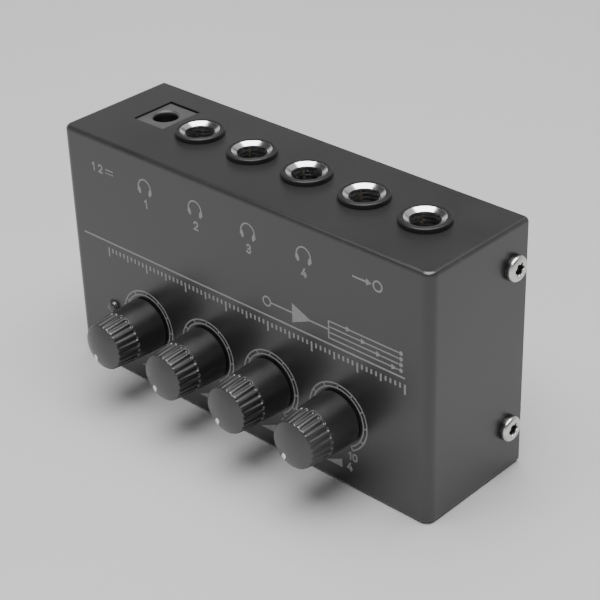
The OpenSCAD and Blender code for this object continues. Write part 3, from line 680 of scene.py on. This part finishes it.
# supply rating with its direct-current sign
word("12", -42.92, 49.85, 2.15, 0.40, fit=3.5)
stroke([(-38.42, 51.28), (-36.12, 51.28)], 0.30, caps=False)
for k in range(3):
    stroke([(-38.42 + k * 0.86, 50.45), (-38.42 + k * 0.86 + 0.55, 50.45)], 0.30, caps=False)


def headphones(cx, cz):
    """Headband and two cups, about 4 mm wide."""
    band = bow(cx, cz - 0.45, 1.93, 2.16, 190, -10, 26)
    stroke(band, 0.34)
    for s in (-1, 1):
        ex, ez = cx + s * 1.62, cz - 1.02
        tilt = math.radians(-s * 14)
        cup = []
        for a in np.linspace(0, 360, 25)[:-1]:
            ca, sa = math.cos(math.radians(a)), math.sin(math.radians(a))
            ux = 0.40 * math.copysign(abs(ca) ** 0.8, ca)
            uz = 0.86 * math.copysign(abs(sa) ** 0.8, sa)
            cup.append((ex + ux * math.cos(tilt) - uz * math.sin(tilt), ez + ux * math.sin(tilt) + uz * math.cos(tilt)))
        slab(cup)
        stroke([(cx + s * 1.93, cz - 0.55), (cx + s * 2.02, cz - 1.1)], 0.42)


for k in range(4):
    jx = jack_at[k] - 1.02 - 0.317 * k
    headphones(jx - 0.05, 51.0)
    word(str(k + 1), jx + (0.0 if k else -0.05), 45.85, 2.2, 0.42, centre=True)
# input sign: an arrow into a ring
stroke([(32.7, 51.0), (36.3, 51.0)], 0.40, caps=False)
slab([(36.2, 50.2), (36.2, 51.8), (37.6, 51.0)])
stroke(bow(39.1, 51.0, 1.08, 1.08, 0, 360, 29)[:-1], 0.40, closed=True)

# rule across the panel
stroke([(-47.8, 33.02), (45.9, 33.02)], 0.40, caps=False)

# a plain signal diagram above the rule: one input, an amplifier, four outputs
gz = 36.4
stroke(bow(9.2, gz, 1.05, 1.05, 0, 360, 33)[:-1], 0.36, closed=True)
stroke([(10.3, gz), (16.4, gz)], 0.36, caps=False)
slab([(16.3, gz - 2.25), (16.3, gz + 2.25), (21.2, gz + 0.12), (21.2, gz - 0.12)])
stroke([(21.0, gz), (26.2, gz)], 0.36, caps=False)
stroke([(26.2, gz - 1.95), (26.2, gz + 1.95)], 0.36, caps=True)
for k in range(4):
    z = gz + (1.5 - k) * 1.3
    stroke([(26.2, z), (30.9 + 3.9 * k, z)], 0.30, caps=False)
    slab([(30.8 + 3.9 * k, z - 0.62), (30.8 + 3.9 * k, z + 0.62), (32.2 + 3.9 * k, z)])
    stroke([(32.1 + 3.9 * k, z), (44.3, z)], 0.30, caps=False)
    slab(bow(44.9, z, 0.47, 0.47, 0, 360, 21)[:-1])

# a plain graduated row below the rule
row = [-39.8 + (45.9 + 39.8) * k / 70 for k in range(71)]
for k, x in enumerate(row):
    hgt = 2.3 if k % 10 == 0 else 1.7 if k % 5 == 0 else 1.1
    stroke([(x, 31.6 - hgt), (x, 31.6)], 0.46, caps=False)

# scales round the knobs
for i, (x, z) in enumerate(knob_at, 1):
    R1, R0, w = 7.77, 6.83, 0.33
    for R in (R1, R0):
        stroke([(x + R * math.cos(math.radians(a)), z + R * math.sin(math.radians(a))) for a in np.linspace(240, -60, 101)], w, caps=False)
    for a in range(240, -61, -30):
        c, s = math.cos(math.radians(a)), math.sin(math.radians(a))
        r0, r1 = R0 - w / 2 if a in (240, -60) else R0, R1 + w / 2 if a in (240, -60) else R1
        stroke([(x + r0 * c, z + r0 * s), (x + r1 * c, z + r1 * s)], w, caps=False)
    word("0", x - 4.15, z - 9.35, 2.0, 0.36, centre=True)
    word("10", x + 3.85, z - 9.35, 2.0, 0.36, centre=True, gap=0.28)
    slab([(x - 3.5, z - 12.25), (x + 0.9, z - 12.25), (x + 0.9, z - 10.15)])
    word(str(i), x + 3.0, z - 12.25, 2.2, 0.37, centre=True)

v, f = merge(PRINT)
v = np.asarray(v, float)
o = piece("panel_printing", v, f, [M["panel_print"]], "root", (0, FRONT, 0), ON_PANEL, angle=20)

# ---- floor, light, camera --------------------------------------------------
floor = Nodes("floor_paper")
fb = floor.noise(3.0, 3.0, 0.5)
fg = floor.noise(900.0, 2.0, 0.5)
fc = floor.mix(floor.remap(fb, 0.3, 0.7, 0, 1), (0.50, 0.50, 0.505), (0.53, 0.53, 0.535))
floor.set(Base_Color=fc, Roughness=0.75, Normal=floor.bump(fg, 0.00001))
me = bpy.data.meshes.new("floor")
rad, seg = 7.0, 96
ring = [(rad * math.cos(2 * math.pi * k / seg), rad * math.sin(2 * math.pi * k / seg), 0.0) for k in range(seg)]
me.from_pydata(ring, [], [tuple(range(seg))])
me.materials.append(floor.done())
fl = bpy.data.objects.new("floor", me)
bpy.context.scene.collection.objects.link(fl)


def softbox(name, at, aim, size, size_y, power, spread=180.0):
    light = bpy.data.lights.new(name, "AREA")
    light.shape = "RECTANGLE"
    light.size, light.size_y = size, size_y
    light.energy = power
    light.spread = math.radians(spread)
    o = bpy.data.objects.new(name, light)
    o.location = at
    o.rotation_euler = (Vector(aim) - Vector(at)).to_track_quat("-Z", "Y").to_euler()
    bpy.context.scene.collection.objects.link(o)
    return o


softbox("overhead", (0.05, -0.08, 0.92), (0.05, -0.08, 0.0), 0.80, 1.00, 19.0)

world = bpy.data.worlds.new("studio")
bpy.context.scene.world = world
world.use_nodes = True
wn = world.node_tree
wn.nodes.clear()
wo = wn.nodes.new("ShaderNodeOutputWorld")
bg = wn.nodes.new("ShaderNodeBackground")
tc = wn.nodes.new("ShaderNodeTexCoord")
sep = wn.nodes.new("ShaderNodeSeparateXYZ")
wn.links.new(tc.outputs["Generated"], sep.inputs[0])
ramp = wn.nodes.new("ShaderNodeFloatCurve")
ramp.inputs["Factor"].default_value = 1.0
wn.links.new(sep.outputs[2], ramp.inputs["Value"])
curve = ramp.mapping.curves[0]
# brightness against the sine of the height: a bright horizon, a dark band, a faint ceiling
for k, (h, v) in enumerate([(0.0, 0.85), (0.30, 0.70), (0.44, 0.07), (0.85, 0.05), (1.0, 0.25)]):
    if k < 2:
        curve.points[k].location = (h, v)
    else:
        curve.points.new(h, v)
for q in curve.points:
    q.handle_type = "VECTOR"
ramp.mapping.update()
dot = wn.nodes.new("ShaderNodeVectorMath")
dot.operation = "DOT_PRODUCT"
wn.links.new(tc.outputs["Generated"], dot.inputs[0])
dot.inputs[1].default_value = (0.14, 0.63, 0.76)
glow = wn.nodes.new("ShaderNodeMapRange")
glow.interpolation_type = "SMOOTHSTEP"
wn.links.new(dot.outputs["Value"], glow.inputs[0])
for k, v in ((1, 0.82), (2, 0.96), (3, 0.0), (4, 0.45)):
    glow.inputs[k].default_value = v
both = wn.nodes.new("ShaderNodeMath")
both.operation = "ADD"
wn.links.new(ramp.outputs[0], both.inputs[0])
wn.links.new(glow.outputs[0], both.inputs[1])
wn.links.new(both.outputs[0], bg.inputs["Strength"])
bg.inputs["Color"].default_value = (1.0, 1.0, 1.0, 1.0)
wn.links.new(bg.outputs[0], wo.inputs[0])

cam = bpy.data.cameras.new("camera")
cam.lens = 104.035
cam.sensor_width = 36.0
cam.sensor_fit = "HORIZONTAL"
cam.clip_start = 0.01
cam.clip_end = 60.0
az, el, roll = math.radians(43.9156), math.radians(30.5328), math.radians(-1.9336)
fw = Vector((-math.sin(az) * math.cos(el), math.cos(az) * math.cos(el), -math.sin(el)))
rt = fw.cross(Vector((0, 0, 1))).normalized()
up = rt.cross(fw)
rt2 = rt * math.cos(roll) + up * math.sin(roll)
up2 = up * math.cos(roll) - rt * math.sin(roll)
co = bpy.data.objects.new("camera", cam)
rot = Matrix((rt2, up2, -fw)).transposed().to_4x4()
co.matrix_world = Matrix.Translation(Vector((225.528, -229.936, 216.204)) * MM) @ rot
bpy.context.scene.collection.objects.link(co)
bpy.context.scene.camera = co
